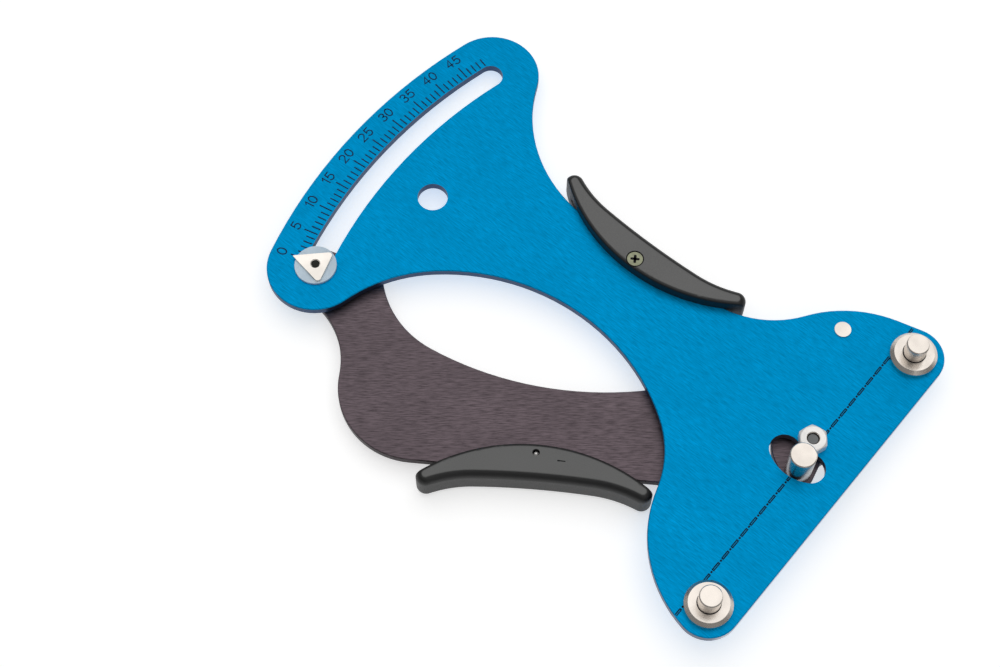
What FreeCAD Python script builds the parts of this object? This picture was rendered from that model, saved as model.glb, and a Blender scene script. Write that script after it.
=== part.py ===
"""Spoke tension meter: a lever and a fixed plate that bend a spoke between three posts.

Every sub-part is an object of one FreeCAD document, and its sizes are bound to the sheet "Sizes".
Lengths are in millimetres and angles in degrees.

The shapes are drawn about the pivot axis: X points from the handles out to the spoke, Y runs along
the spoke from the lower post to the upper one, and Z = 0 is the face of the front plate.
Finished parts are moved so that the origin is the centre of the hang hole on that face.
"""
import FreeCAD, Part

import math
import os

import Sketcher

SIZES = [
    # plates
    ("plate_thickness", 3.175, "front plate and lever"),
    ("plate_gap", 1.6, "space between the front plate and the lever"),
    ("edge_break", 0.3, "chamfer round the plates"),
    ("hole_to_pivot_out", 164.0, "pivot from the hang hole, along X"),
    ("hole_to_pivot_across", 10.1, "pivot from the hang hole, along Y"),
    ("hang_hole_radius", 5.56, "hang hole"),
    # posts
    ("post_line", 8.0, "spoke posts from the pivot, along X"),
    ("post_span", 119.1, "between the two fixed posts"),
    ("post_middle", -10.0, "middle of the fixed posts, along Y"),
    ("pin_radius", 3.97, "bearing pin of a fixed post"),
    ("pin_top", 10.2, "top of the pins above the plate"),
    ("collar_radius", 8.3, "collar of a fixed post"),
    ("collar_height", 3.2, "collar of a fixed post"),
    ("collar_bevel", 1.25, "top edge of a collar"),
    ("post_shank_radius", 3.2, "shank of a post in its plate"),
    ("post_chamfer", 0.35, "edges of the posts"),
    ("moving_post_arm", 10.0, "moving post from the pivot"),
    ("moving_post_angle", -78.7, "moving post seen from the pivot"),
    ("moving_post_radius", 4.65, "moving post"),
    # travel
    ("rest_angle", 198.35, "pointer at zero, seen from the pivot"),
    ("travel", 32.0, "swing of the lever"),
    ("pointer_arm", 187.1, "pointer from the pivot"),
    # outline of the front plate
    ("corner_radius", 11.2, "plate round a fixed post"),
    ("lobe_radius", 17.75, "plate round the ends of the arc slot"),
    ("upper_lobe_lead", 0.2, "angle from the slot's upper end on to the centre of its lobe"),
    ("upper_shoulder_radius", 46.0, ""),
    ("upper_shoulder_angle", -32.6, "direction of the shoulder's centre from the hollow's"),
    ("upper_hollow_radius", 37.0, ""),
    ("upper_hollow_x", -61.65, ""),
    ("upper_hollow_y", 58.25, ""),
    ("upper_flank_radius", 57.0, ""),
    ("upper_flank_angle", 25.05, "direction of the flank's centre from the upper lobe"),
    ("waist_radius", 78.1, ""),
    ("waist_top_x", -90.65, "nearest point of the waist to the front handle"),
    ("waist_top_y", -12.47, ""),
    ("lower_flank_radius", 55.5, ""),
    ("lower_flank_turn", 39.93, "flank's centre below the waist's top, seen from the lower lobe"),
    ("lower_hollow_radius", 40.0, ""),
    ("lower_hollow_turn", 28.44, "hollow's centre below the waist's top, seen from the shoulder"),
    ("lower_shoulder_radius", 47.3, ""),
    ("lower_shoulder_angle", 79.1, "direction of the shoulder's centre from the lower post"),
    # slots of the front plate
    ("arc_slot_half_width", 4.6, ""),
    ("slot_end_room", 0.35, "guide sleeve to either end of the arc slot"),
    ("post_slot_room", 0.85, "slot's half width beyond the moving post"),
    ("post_slot_inset", 0.3, "slot's middle inside the moving post's path"),
    ("post_slot_lead", 20.7, "slot's first end before the moving post at rest"),
    ("post_slot_run", 14.4, "slot's last end beyond the moving post at full travel"),
    # outline of the lever
    ("pointer_lobe_radius", 10.0, ""),
    ("under_arm_radius", 32.7, ""),
    ("belly_radius", 28.4, ""),
    ("belly_x", -119.75, ""),
    ("belly_y", -69.25, ""),
    ("blade_corner_radius", 14.0, ""),
    ("blade_corner_x", -38.3, ""),
    ("blade_corner_y", -30.95, ""),
    ("notch_radius", 8.0, ""),
    ("notch_angle", 212.1, "direction of the notch's centre from the pivot"),
    ("boss_radius", 13.3, "lever round the pivot, below"),
    ("post_lobe_radius", 5.8, "lever round the moving post"),
    ("tail_top_radius", 6.8, "lever round the pivot, above"),
    ("spring_lobe_radius", 4.2, ""),
    ("spring_lobe_fillet", 2.5, ""),
    ("spring_lobe_angle", -100.1, "direction of the lower fillet's centre from the lobe"),
    ("arm_bend_radius", 15.0, ""),
    ("arm_bend_angle", -31.2, "direction of the bend from the arm curve's centre"),
    ("arm_curve_radius", 121.0, ""),
    ("arm_curve_angle", 116.0, "direction of the curve's centre from the middle of the arm"),
    ("arm_middle_x", -91.98, "point on the arm's upper edge"),
    ("arm_middle_y", -44.78, ""),
    ("arm_end_radius", 37.0, ""),
    ("neck_radius", 9.0, ""),
    ("neck_x", -162.4, ""),
    ("neck_y", -53.2, ""),
    # pivot
    ("pivot_radius", 2.41, "pivot screw"),
    ("running_clearance", 0.05, "radial, where a shaft turns in a hole"),
    ("bushing_radius", 3.97, ""),
    ("face_clearance", 0.05, "between faces that slide on each other"),
    ("nut_across_flats", 9.3, ""),
    ("nut_corner_radius", 5.25, "corners, turned down to clear the moving post"),
    ("nut_turn", 40.0, "direction of one of the flats"),
    ("nut_height", 4.0, ""),
    ("nut_chamfer", 0.3, "top corners of the nut"),
    ("nut_mouth", 0.4, "chamfer round the nut's hole"),
    ("pivot_end_depth", 0.9, "end of the pivot screw below the top of its nut"),
    ("pivot_spacer_radius", 4.4, "between the plates"),
    ("pivot_washer_radius", 5.5, "under the screw head"),
    ("pivot_washer_thickness", 0.8, ""),
    ("pivot_head_radius", 4.6, ""),
    ("pivot_socket_flats", 3.175, "hexagon socket in the screw head"),
    ("socket_depth", 1.2, "sockets of the two screws at the back"),
    ("pivot_head_height", 2.3, ""),
    # pointer stack
    ("pointer_thickness", 0.9, ""),
    ("pointer_reach", 8.7, "tip from the pointer screw"),
    ("pointer_back", 4.3, "back edge from the pointer screw"),
    ("pointer_half_width", 6.5, "at the back edge"),
    ("pointer_corner_radius", 1.2, ""),
    ("pointer_tip_radius", 0.25, ""),
    ("guide_radius", 7.6, "flange of the guide washer"),
    ("guide_flange", 0.9, "thickness of that flange"),
    ("sleeve_radius", 4.2, "guide sleeve in the arc slot"),
    ("pointer_screw_radius", 1.75, ""),
    ("pointer_screw_depth", 0.35, "end of the screw below the pointer's face"),
    ("pointer_head_radius", 3.4, ""),
    ("pointer_socket_flats", 2.38, "hexagon socket in the screw head"),
    ("pointer_head_height", 1.8, ""),
    ("pointer_washer_radius", 4.6, ""),
    ("pointer_washer_thickness", 0.7, ""),
    # handles
    ("handle_thickness", 12.7, ""),
    ("handle_half_length", 37.25, "half the distance between the centres of the ends"),
    ("handle_end_shift", 0.25, "middle between the ends from the handle screw"),
    ("handle_end_radius", 3.5, ""),
    ("handle_turn", 0.7, "turn of the crescent about its screw"),
    ("handle_inner_radius", 66.0, "curve on the plate's side"),
    ("handle_inner_depth", 3.3, "that curve from the handle screw"),
    ("handle_grip_depth", 9.65, "middle of the grip from the handle screw"),
    ("handle_grip_radius", 300.0, "middle of the grip"),
    ("handle_sweep_radius", 44.0, "grip towards its ends"),
    ("handle_edge_round", 2.9, "edges round the grip and the ends"),
    ("handle_trim", 1.2, "cut off the rounded blank on the plate's side"),
    ("handle_plate_round", 0.8, "edges left by that cut"),
    ("handle_slot_depth", 6.05, "handle screw to the bottom of the plate's slot"),
    ("handle_slot_flat", 26.0, "half length of the straight bottom"),
    ("handle_slot_end_depth", 9.3, "bottom at the slot's ends"),
    ("handle_slot_clearance", 0.1, "total, on the plate's thickness"),
    ("handle_screw_inset", 5.0, "handle screw from the edge of its plate"),
    ("front_handle_x", -89.8, ""),
    ("front_handle_lean", -2.05, "turn of the front handle from the plate's straight edge"),
    ("rear_handle_reach", 43.7, "handle screw from the belly, along the lever's edge"),
    ("handle_screw_radius", 1.75, ""),
    ("handle_head_radius", 2.85, ""),
    ("handle_head_height", 1.9, ""),
    ("handle_head_rim", 0.25, "straight rim of the countersunk head"),
    ("handle_head_sink", 0.15, "head below the handle's face"),
    ("handle_pilot_radius", 1.3, "open end of the screw hole"),
    ("handle_screw_end", 2.6, "screw end below the handle's far face"),
    ("fit_clearance", 0.05, "radial, where a fixed piece sits in a hole"),
    ("recess_length", 3.3, "cross recess of a handle screw"),
    ("recess_width", 0.8, ""),
    ("recess_depth", 1.1, ""),
    # return spring
    ("anchor_x", -16.95, "front spring anchor"),
    ("anchor_y", 42.2, ""),
    ("tail_x", 10.0, "spring anchor on the lever"),
    ("tail_y", 4.0, ""),
    ("anchor_head_radius", 2.95, ""),
    ("anchor_head_height", 0.5, ""),
    ("anchor_shank_radius", 1.9, ""),
    ("anchor_neck_radius", 1.6, "where a hook lies"),
    ("anchor_flange_radius", 2.9, ""),
    ("anchor_flange_height", 1.0, ""),
    ("wire_diameter", 1.1, ""),
    ("coil_start", 8.0, "front anchor to the first turn"),
    ("coil_stop", 14.0, "last turn to the lever's anchor"),
    ("hook_clearance", 0.1, "wire to anchor"),
    ("hook_plate_room", 0.3, "front hook to the plate above it"),
    ("hook_lever_room", 0.25, "rear hook to the lever above it"),
]

document = FreeCAD.newDocument("spoke_tension_meter")
sheet = document.addObject("Spreadsheet::Sheet", "Sizes")


class Length:
    """A number and the spreadsheet expression that works it out."""

    def __init__(self, value, text):
        self.value = value
        self.text = text

    def __float__(self):
        return self.value

    def __add__(self, other):
        return Length(self.value + float(other), f"({self.text} + {written(other)})")

    def __radd__(self, other):
        return Length(float(other) + self.value, f"({written(other)} + {self.text})")

    def __sub__(self, other):
        return Length(self.value - float(other), f"({self.text} - {written(other)})")

    def __rsub__(self, other):
        return Length(float(other) - self.value, f"({written(other)} - {self.text})")

    def __mul__(self, other):
        return Length(self.value * float(other), f"({self.text} * {written(other)})")

    def __rmul__(self, other):
        return Length(float(other) * self.value, f"({written(other)} * {self.text})")

    def __truediv__(self, other):
        return Length(self.value / float(other), f"({self.text} / {written(other)})")

    def __neg__(self):
        return Length(-self.value, f"(0 - {self.text})")


def written(number):
    return number.text if isinstance(number, Length) else repr(float(number))


def cosine(angle):
    return Length(math.cos(math.radians(float(angle))), f"cos({written(angle)})")


def sine(angle):
    return Length(math.sin(math.radians(float(angle))), f"sin({written(angle)})")


def polar(arm, angle):
    return arm * cosine(angle), arm * sine(angle)


def fill_sheet():
    sizes = {}
    for row, (name, value, meaning) in enumerate(SIZES, start=1):
        sheet.set(f"A{row}", meaning)
        sheet.set(f"B{row}", str(value))
        sheet.setAlias(f"B{row}", name)
        sizes[name] = Length(value, f"Sizes.{name}")
    document.recompute()
    return sizes


size = fill_sheet()


# ---------------------------------------------------------------- outlines of tangent arcs

class Arc:
    """One arc of an outline, drawn counter-clockwise round the solid.

    bulge is +1 where the solid lies inside the circle and -1 where it lies outside. An arc with
    no centre blends the arcs on either side of it, and side picks which of the two ways. hold
    names the coordinates of the centre that are fixed; the radius follows from the neighbours
    where fixed_radius is off.
    """

    def __init__(self, radius, bulge=1, centre=None, line_after=False, side=None, hold="xy",
                 fixed_radius=True):
        self.radius = radius
        self.bulge = bulge
        self.centre = centre
        self.line_after = line_after
        self.side = side if side is not None else bulge
        self.hold = "" if centre is None else hold
        self.fixed_radius = fixed_radius
        self.point = None if centre is None else (float(centre[0]), float(centre[1]))

    @property
    def signed(self):
        return self.bulge * float(self.radius)


def heading(start, end):
    """Direction from one place to another."""
    dx = end[0] - start[0]
    dy = end[1] - start[1]
    angle = math.degrees(math.atan2(float(dy), float(dx)))
    return Length(angle, f"(atan2({written(dy)}; {written(dx)}) / 1deg)")


def leaning(arc, radius, bulge, angle, **options):
    """An arc that is tangent to another, with its centre in the given direction from it."""
    reach = arc.radius - radius if arc.bulge == bulge else arc.radius + radius
    if float(reach) < 0:
        reach = -reach
    dx, dy = polar(reach, angle)
    hold = "y" if abs(float(dx)) > abs(float(dy)) else "x"
    return Arc(radius, bulge, centre=(arc.centre[0] + dx, arc.centre[1] + dy), hold=hold, **options)


def place_blend(before, arc, after):
    """Centre of an arc that is tangent to the arcs before and after it."""
    reach_before = abs(before.signed - arc.signed)
    reach_after = abs(after.signed - arc.signed)
    dx = after.point[0] - before.point[0]
    dy = after.point[1] - before.point[1]
    apart = math.hypot(dx, dy)
    along = (reach_before ** 2 - reach_after ** 2 + apart ** 2) / (2 * apart)
    across = arc.side * math.sqrt(reach_before ** 2 - along ** 2)
    arc.point = (before.point[0] + (along * dx - across * dy) / apart,
                 before.point[1] + (along * dy + across * dx) / apart)


def normal_between(first, second):
    """Outward normal where two neighbours meet, or of the line between them."""
    dx = second.point[0] - first.point[0]
    dy = second.point[1] - first.point[1]
    if first.line_after:
        turn = math.acos((first.signed - second.signed) / math.hypot(dx, dy))
        angle = math.atan2(dy, dx) - turn
        return math.cos(angle), math.sin(angle)
    scale = first.signed - second.signed
    return dx / scale, dy / scale


def on_arc(arc, normal):
    return (arc.point[0] + arc.signed * normal[0], arc.point[1] + arc.signed * normal[1])


def line_between(first, second):
    """Ends of the straight line that is tangent to both arcs."""
    normal = normal_between(first, second)
    return on_arc(first, normal), on_arc(second, normal)


def draw_outline(sketch, arcs):
    """Add a closed outline to a sketch: tangent arcs and lines, with their sizes bound."""
    count = len(arcs)
    for index, arc in enumerate(arcs):
        if arc.point is None:
            place_blend(arcs[index - 1], arc, arcs[(index + 1) % count])
    pieces = []
    for index, arc in enumerate(arcs):
        before = arcs[index - 1]
        after = arcs[(index + 1) % count]
        normal_in = normal_between(before, arc)
        normal_out = normal_between(arc, after)
        first, last = (normal_in, normal_out) if arc.bulge > 0 else (normal_out, normal_in)
        start = math.atan2(arc.bulge * first[1], arc.bulge * first[0])
        sweep = math.atan2(arc.bulge * last[1], arc.bulge * last[0]) - start
        sweep %= 2 * math.pi
        circle = Part.Circle(FreeCAD.Vector(arc.point[0], arc.point[1], 0),
                             FreeCAD.Vector(0, 0, 1), float(arc.radius))
        geometry = sketch.addGeometry(Part.ArcOfCircle(circle, start, start + sweep))
        ends = (1, 2) if arc.bulge > 0 else (2, 1)
        pieces.append((geometry, ends))
        if arc.fixed_radius:
            constrain(sketch, "Radius", (geometry,), arc.radius)
        hold_point(sketch, geometry, 3, arc.centre, arc.hold)
        if arc.line_after:
            begin, finish = line_between(arc, after)
            line = sketch.addGeometry(Part.LineSegment(FreeCAD.Vector(*begin, 0),
                                                       FreeCAD.Vector(*finish, 0)))
            pieces.append((line, (1, 2)))
    for index, (geometry, ends) in enumerate(pieces):
        following, following_ends = pieces[(index + 1) % len(pieces)]
        sketch.addConstraint(Sketcher.Constraint("Tangent", geometry, ends[1],
                                                 following, following_ends[0]))


# ---------------------------------------------------------------- small modelling helpers

def constrain(sketch, kind, where, value):
    number = sketch.addConstraint(Sketcher.Constraint(kind, *where, float(value)))
    if isinstance(value, Length):
        sketch.setExpression(f"Constraints[{number}]", value.text)


def hold_point(sketch, geometry, vertex, place, hold="xy"):
    """Fix one point of a sketch by its coordinates."""
    if "x" in hold:
        constrain(sketch, "DistanceX", (-1, 1, geometry, vertex), place[0])
    if "y" in hold:
        constrain(sketch, "DistanceY", (-1, 1, geometry, vertex), place[1])


def draw_circle(sketch, place, radius):
    circle = Part.Circle(FreeCAD.Vector(float(place[0]), float(place[1]), 0),
                         FreeCAD.Vector(0, 0, 1), float(radius))
    geometry = sketch.addGeometry(circle)
    constrain(sketch, "Radius", (geometry,), radius)
    hold_point(sketch, geometry, 3, place)


def draw_polygon(sketch, corners):
    """Add a closed polygon whose corners are all fixed."""
    points = [FreeCAD.Vector(float(x), float(y), 0) for x, y in corners]
    count = len(points)
    lines = [sketch.addGeometry(Part.LineSegment(points[i], points[(i + 1) % count]))
             for i in range(count)]
    for index, line in enumerate(lines):
        sketch.addConstraint(Sketcher.Constraint("Coincident", line, 2, lines[(index + 1) % count], 1))
        hold_point(sketch, line, 1, corners[index])


def draw_arc_slot(sketch, arm, half_width, low_angle, high_angle, hold):
    """Add a slot that is concentric with the pivot; hold fixes its far end along X or Y."""
    pivot = (0.0, 0.0)
    draw_outline(sketch, [
        Arc(half_width, centre=polar(arm, low_angle)),
        Arc(arm + half_width, centre=pivot, fixed_radius=False),
        Arc(half_width, centre=polar(arm, high_angle), hold=hold, fixed_radius=False),
        Arc(arm - half_width, -1, centre=pivot, fixed_radius=False),
    ])


def new_body(label):
    body = document.addObject("PartDesign::Body", label)
    body.Label = label
    return body


def new_sketch(body, name, role="XY_Plane", lift=None):
    sketch = body.newObject("Sketcher::SketchObject", f"{body.Name}_{name}")
    plane = next(item for item in body.Origin.OriginFeatures if item.Role == role)
    sketch.AttachmentSupport = [(plane, "")]
    sketch.MapMode = "FlatFace"
    if lift is not None:
        sketch.setExpression("AttachmentOffset.Base.z", written(lift))
    return sketch


def new_feature(body, kind, name, sketch):
    feature = body.newObject(f"PartDesign::{kind}", f"{body.Name}_{name}")
    feature.Profile = sketch
    sketch.Visibility = False
    return feature


def pad(body, sketch, height, symmetric=False):
    feature = new_feature(body, "Pad", "pad", sketch)
    feature.setExpression("Length", written(height))
    if symmetric:
        feature.SideType = "Symmetric"
    document.recompute()
    return feature


def lathe(label, profile):
    """A turned piece: its half section as (radius, height) corners."""
    body = new_body(label)
    sketch = new_sketch(body, "section", "XZ_Plane")
    draw_polygon(sketch, profile)
    feature = new_feature(body, "Revolution", "turn", sketch)
    feature.ReferenceAxis = (sketch, ["V_Axis"])
    document.recompute()
    return body


def dress(body, base, kind, name, edges, amount):
    """A fillet or chamfer on the named edges of a feature."""
    feature = body.newObject(f"PartDesign::{kind}", f"{body.Name}_{name}")
    feature.Base = (base, edges)
    feature.setExpression("Radius" if kind == "Fillet" else "Size", written(amount))
    document.recompute()
    return feature


def edges_where(shape, test):
    return [f"Edge{number}" for number, edge in enumerate(shape.Edges, start=1) if test(edge)]


def is_level(edge, height):
    box = edge.BoundBox
    return abs(box.ZMin - height) < 1e-6 and abs(box.ZMax - height) < 1e-6


def outer_level_edges(shape, height):
    """Names of the edges round the outside of the level face at this height."""
    for face in shape.Faces:
        box = face.BoundBox
        if abs(box.ZMin - height) < 1e-6 and abs(box.ZMax - height) < 1e-6:
            rim = face.OuterWire.Edges
            return edges_where(shape, lambda edge: any(edge.isSame(other) for other in rim))
    return []


def put(body, x=0, y=0, z=0, rotation=None):
    """Place a piece that is drawn about the pivot, with the origin moved to the hang hole."""
    body.Placement = FreeCAD.Placement(FreeCAD.Vector(0, 0, 0), rotation or FreeCAD.Rotation())
    body.setExpression(".Placement.Base.x", written(x + size["hole_to_pivot_out"]))
    body.setExpression(".Placement.Base.y", written(y + size["hole_to_pivot_across"]))
    body.setExpression(".Placement.Base.z", written(z + 0.0))


# ---------------------------------------------------------------- places

upper_post = (size["post_line"], size["post_middle"] + size["post_span"] / 2)
lower_post = (size["post_line"], size["post_middle"] - size["post_span"] / 2)
moving_post = polar(size["moving_post_arm"], size["moving_post_angle"])
pointer_place = polar(size["pointer_arm"], size["rest_angle"])
anchor_place = (size["anchor_x"], size["anchor_y"])
tail_place = (size["tail_x"], size["tail_y"])
hang_hole = (-size["hole_to_pivot_out"], -size["hole_to_pivot_across"])

front_bottom = -size["plate_thickness"]
lever_top = front_bottom - size["plate_gap"]
lever_bottom = lever_top - size["plate_thickness"]


# ---------------------------------------------------------------- front plate

def slot_angles():
    """Angles of the arc slot's end centres, with the sleeve's room beyond its travel."""
    play = size["arc_slot_half_width"] - size["sleeve_radius"]
    room = (size["slot_end_room"] - play) / size["pointer_arm"] * (180 / math.pi)
    return size["rest_angle"] - size["travel"] - room, size["rest_angle"] + room


def upper_edge():
    """The hollow over the front handle, the flank and the lobe of the upper edge."""
    high, _ = slot_angles()
    hollow = Arc(size["upper_hollow_radius"], -1, line_after=True,
                 centre=(size["upper_hollow_x"], size["upper_hollow_y"]))
    lobe = Arc(size["lobe_radius"], centre=polar(size["pointer_arm"], high - size["upper_lobe_lead"]))
    flank = leaning(lobe, size["upper_flank_radius"], -1, size["upper_flank_angle"])
    return hollow, flank, lobe


def front_plate():
    """The plate with the scale lobe, its slots and its holes."""
    high, low = slot_angles()
    corner = size["corner_radius"]
    lobe = size["lobe_radius"]
    lower_corner = Arc(corner, centre=lower_post, line_after=True)
    upper_corner = Arc(corner, centre=upper_post, line_after=True)
    upper_hollow, upper_flank, upper_lobe = upper_edge()
    upper_shoulder = leaning(upper_hollow, size["upper_shoulder_radius"], 1,
                             size["upper_shoulder_angle"])
    scale_edge = Arc(size["pointer_arm"] + lobe, centre=(0.0, 0.0), fixed_radius=False)
    lower_lobe = Arc(lobe, centre=polar(size["pointer_arm"], low), fixed_radius=False)
    lower_shoulder = leaning(lower_corner, size["lower_shoulder_radius"], 1,
                             size["lower_shoulder_angle"])
    waist_top = (size["waist_top_x"], size["waist_top_y"])
    lower_flank = leaning(lower_lobe, size["lower_flank_radius"], -1,
                          heading(lower_lobe.centre, waist_top) - size["lower_flank_turn"])
    waist = Arc(size["waist_radius"], -1)
    lower_hollow = leaning(lower_shoulder, size["lower_hollow_radius"], -1,
                           heading(lower_shoulder.centre, waist_top) + size["lower_hollow_turn"])

    body = new_body("front_plate")
    sketch = new_sketch(body, "outline")
    draw_outline(sketch, [lower_corner, upper_corner, upper_shoulder, upper_hollow, upper_flank,
                          upper_lobe, scale_edge, lower_lobe, lower_flank, waist, lower_hollow,
                          lower_shoulder])
    draw_arc_slot(sketch, size["pointer_arm"], size["arc_slot_half_width"], high, low, hold="y")
    draw_arc_slot(sketch, size["moving_post_arm"] - size["post_slot_inset"],
                  size["moving_post_radius"] + size["post_slot_room"],
                  size["moving_post_angle"] - size["travel"] - size["post_slot_run"],
                  size["moving_post_angle"] + size["post_slot_lead"], hold="x")
    draw_circle(sketch, hang_hole, size["hang_hole_radius"])
    draw_circle(sketch, (0.0, 0.0), size["pivot_radius"] + size["fit_clearance"])
    draw_circle(sketch, upper_post, size["post_shank_radius"] + size["fit_clearance"])
    draw_circle(sketch, lower_post, size["post_shank_radius"] + size["fit_clearance"])
    draw_circle(sketch, anchor_place, size["anchor_shank_radius"] + size["fit_clearance"])
    handle_place, _ = front_handle_frame()
    draw_circle(sketch, handle_place, size["handle_screw_radius"] + size["fit_clearance"])
    base = pad(body, sketch, size["plate_thickness"])
    break_edges(body, base)
    put(body, z=front_bottom)
    return body


def break_edges(body, base):
    """Chamfer both rims of a plate."""
    rims = outer_level_edges(base.Shape, 0) + outer_level_edges(base.Shape, float(size["plate_thickness"]))
    dress(body, base, "Chamfer", "edge_break", rims, size["edge_break"])


def front_handle_frame():
    """Place of the front handle's screw, its inset below the straight edge, and the handle's turn."""
    hollow, flank, _ = upper_edge()
    (x1, y1), (x2, y2) = line_between(hollow, flank)
    slope = (y2 - y1) / (x2 - x1)
    edge = y1 + slope * (float(size["front_handle_x"]) - x1)
    turn = math.degrees(math.atan(slope)) + float(size["front_handle_lean"])
    return (size["front_handle_x"], edge - size["handle_screw_inset"]), turn


# ---------------------------------------------------------------- lever

def blade_arcs():
    """The two arcs that the lever's straight edge joins."""
    belly = Arc(size["belly_radius"], centre=(size["belly_x"], size["belly_y"]), line_after=True)
    corner = Arc(size["blade_corner_radius"], line_after=True,
                 centre=(size["blade_corner_x"], size["blade_corner_y"]))
    return belly, corner


def rear_handle_frame():
    """Place of the rear handle's screw and the heading of the lever's edge there."""
    belly, corner = blade_arcs()
    (x1, y1), (x2, y2) = line_between(belly, corner)
    heading = math.atan2(y2 - y1, x2 - x1)
    reach = float(size["rear_handle_reach"])
    inset = float(size["handle_screw_inset"])
    x = x1 + reach * math.cos(heading) - inset * math.sin(heading)
    y = y1 + reach * math.sin(heading) + inset * math.cos(heading)
    return (x, y), math.degrees(heading)


def lever_plate():
    """The lever: pointer lobe, belly, straight edge for its handle, and the lobes at the pivot."""
    belly, blade_corner = blade_arcs()
    lean_x, lean_y = polar(size["arm_curve_radius"], size["arm_curve_angle"])
    arm_curve = Arc(size["arm_curve_radius"], -1,
                    centre=(size["arm_middle_x"] + lean_x, size["arm_middle_y"] + lean_y))
    boss = Arc(size["boss_radius"], centre=(0.0, 0.0), line_after=True)
    spring_lobe = Arc(size["spring_lobe_radius"], centre=tail_place)
    outline = [
        Arc(size["pointer_lobe_radius"], centre=pointer_place),
        Arc(size["under_arm_radius"], -1),
        belly,
        blade_corner,
        leaning(boss, size["notch_radius"], -1, size["notch_angle"]),
        boss,
        Arc(size["post_lobe_radius"], centre=moving_post, line_after=True),
        leaning(spring_lobe, size["spring_lobe_fillet"], -1, size["spring_lobe_angle"]),
        spring_lobe,
        Arc(size["spring_lobe_fillet"], -1),
        Arc(size["tail_top_radius"], centre=(0.0, 0.0), line_after=True),
        leaning(arm_curve, size["arm_bend_radius"], 1, size["arm_bend_angle"]),
        arm_curve,
        Arc(size["arm_end_radius"], -1, side=1),
        Arc(size["neck_radius"], centre=(size["neck_x"], size["neck_y"]), line_after=True),
    ]
    body = new_body("lever_plate")
    sketch = new_sketch(body, "outline")
    draw_outline(sketch, outline)
    draw_circle(sketch, (0.0, 0.0), size["bushing_radius"] + size["fit_clearance"])
    draw_circle(sketch, moving_post, size["post_shank_radius"] + size["fit_clearance"])
    draw_circle(sketch, tail_place, size["anchor_shank_radius"] + size["fit_clearance"])
    draw_circle(sketch, pointer_place, size["pointer_screw_radius"] + size["fit_clearance"])
    screw_place, _ = rear_handle_frame()
    draw_circle(sketch, screw_place, size["handle_screw_radius"] + size["fit_clearance"])
    base = pad(body, sketch, size["plate_thickness"])
    break_edges(body, base)
    put(body, z=lever_bottom)
    return body


# ---------------------------------------------------------------- posts

def fixed_post(label, place):
    """A collared post whose shank is peened flush behind the plate."""
    chamfer = size["post_chamfer"]
    bevel = size["collar_bevel"]
    body = lathe(label, [
        (0.0, front_bottom),
        (size["post_shank_radius"], front_bottom),
        (size["post_shank_radius"], 0.0),
        (size["collar_radius"], 0.0),
        (size["collar_radius"], size["collar_height"] - bevel),
        (size["collar_radius"] - bevel, size["collar_height"]),
        (size["pin_radius"], size["collar_height"]),
        (size["pin_radius"], size["pin_top"] - chamfer),
        (size["pin_radius"] - chamfer, size["pin_top"]),
        (0.0, size["pin_top"]),
    ])
    put(body, *place)
    return body


def moving_post_piece():
    """The plain post on the lever, which comes up through the oval slot."""
    chamfer = size["post_chamfer"]
    body = lathe("moving_post", [
        (0.0, lever_bottom),
        (size["post_shank_radius"], lever_bottom),
        (size["post_shank_radius"], lever_top),
        (size["moving_post_radius"], lever_top),
        (size["moving_post_radius"], size["pin_top"] - chamfer),
        (size["moving_post_radius"] - chamfer, size["pin_top"]),
        (0.0, size["pin_top"]),
    ])
    put(body, *moving_post)
    return body


# ---------------------------------------------------------------- pivot

def ring(label, inner, outer, low, high):
    """A plain washer or bushing."""
    return lathe(label, [(inner, low), (outer, low), (outer, high), (inner, high)])


def cut_socket(body, flats, low):
    """Cut a hexagon socket up into a screw head whose underside is at this height."""
    sketch = new_sketch(body, "socket", lift=low)
    draw_polygon(sketch, [polar(flats / math.sqrt(3), 60.0 * step) for step in range(6)])
    pocket = new_feature(body, "Pocket", "socket_cut", sketch)
    pocket.Reversed = True
    pocket.setExpression("Length", written(size["socket_depth"]))
    document.recompute()


def pivot_pieces():
    shaft = size["pivot_radius"]
    slide = size["face_clearance"]
    bore = shaft + size["running_clearance"]
    spacer = ring("pivot_spacer", bore, size["pivot_spacer_radius"], lever_top + slide, front_bottom)
    bushing = ring("pivot_bushing", bore, size["bushing_radius"], lever_bottom, lever_top)
    washer_top = lever_bottom - slide
    washer_low = washer_top - size["pivot_washer_thickness"]
    washer = ring("pivot_washer", bore, size["pivot_washer_radius"], washer_low, washer_top)
    head = size["pivot_head_radius"]
    head_low = washer_low - size["pivot_head_height"]
    rounding = size["pivot_head_height"] / 3
    screw = lathe("pivot_screw", [
        (0.0, head_low),
        (head - 1.5 * rounding, head_low),
        (head - 0.4 * rounding, head_low + 0.4 * rounding),
        (head, head_low + 1.5 * rounding),
        (head, washer_low),
        (shaft, washer_low),
        (shaft, size["nut_height"] - size["pivot_end_depth"]),
        (0.0, size["nut_height"] - size["pivot_end_depth"]),
    ])
    cut_socket(screw, size["pivot_socket_flats"], head_low)
    pieces = [spacer, bushing, washer, screw, pivot_nut()]
    for piece in pieces:
        put(piece)
    return pieces


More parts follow.
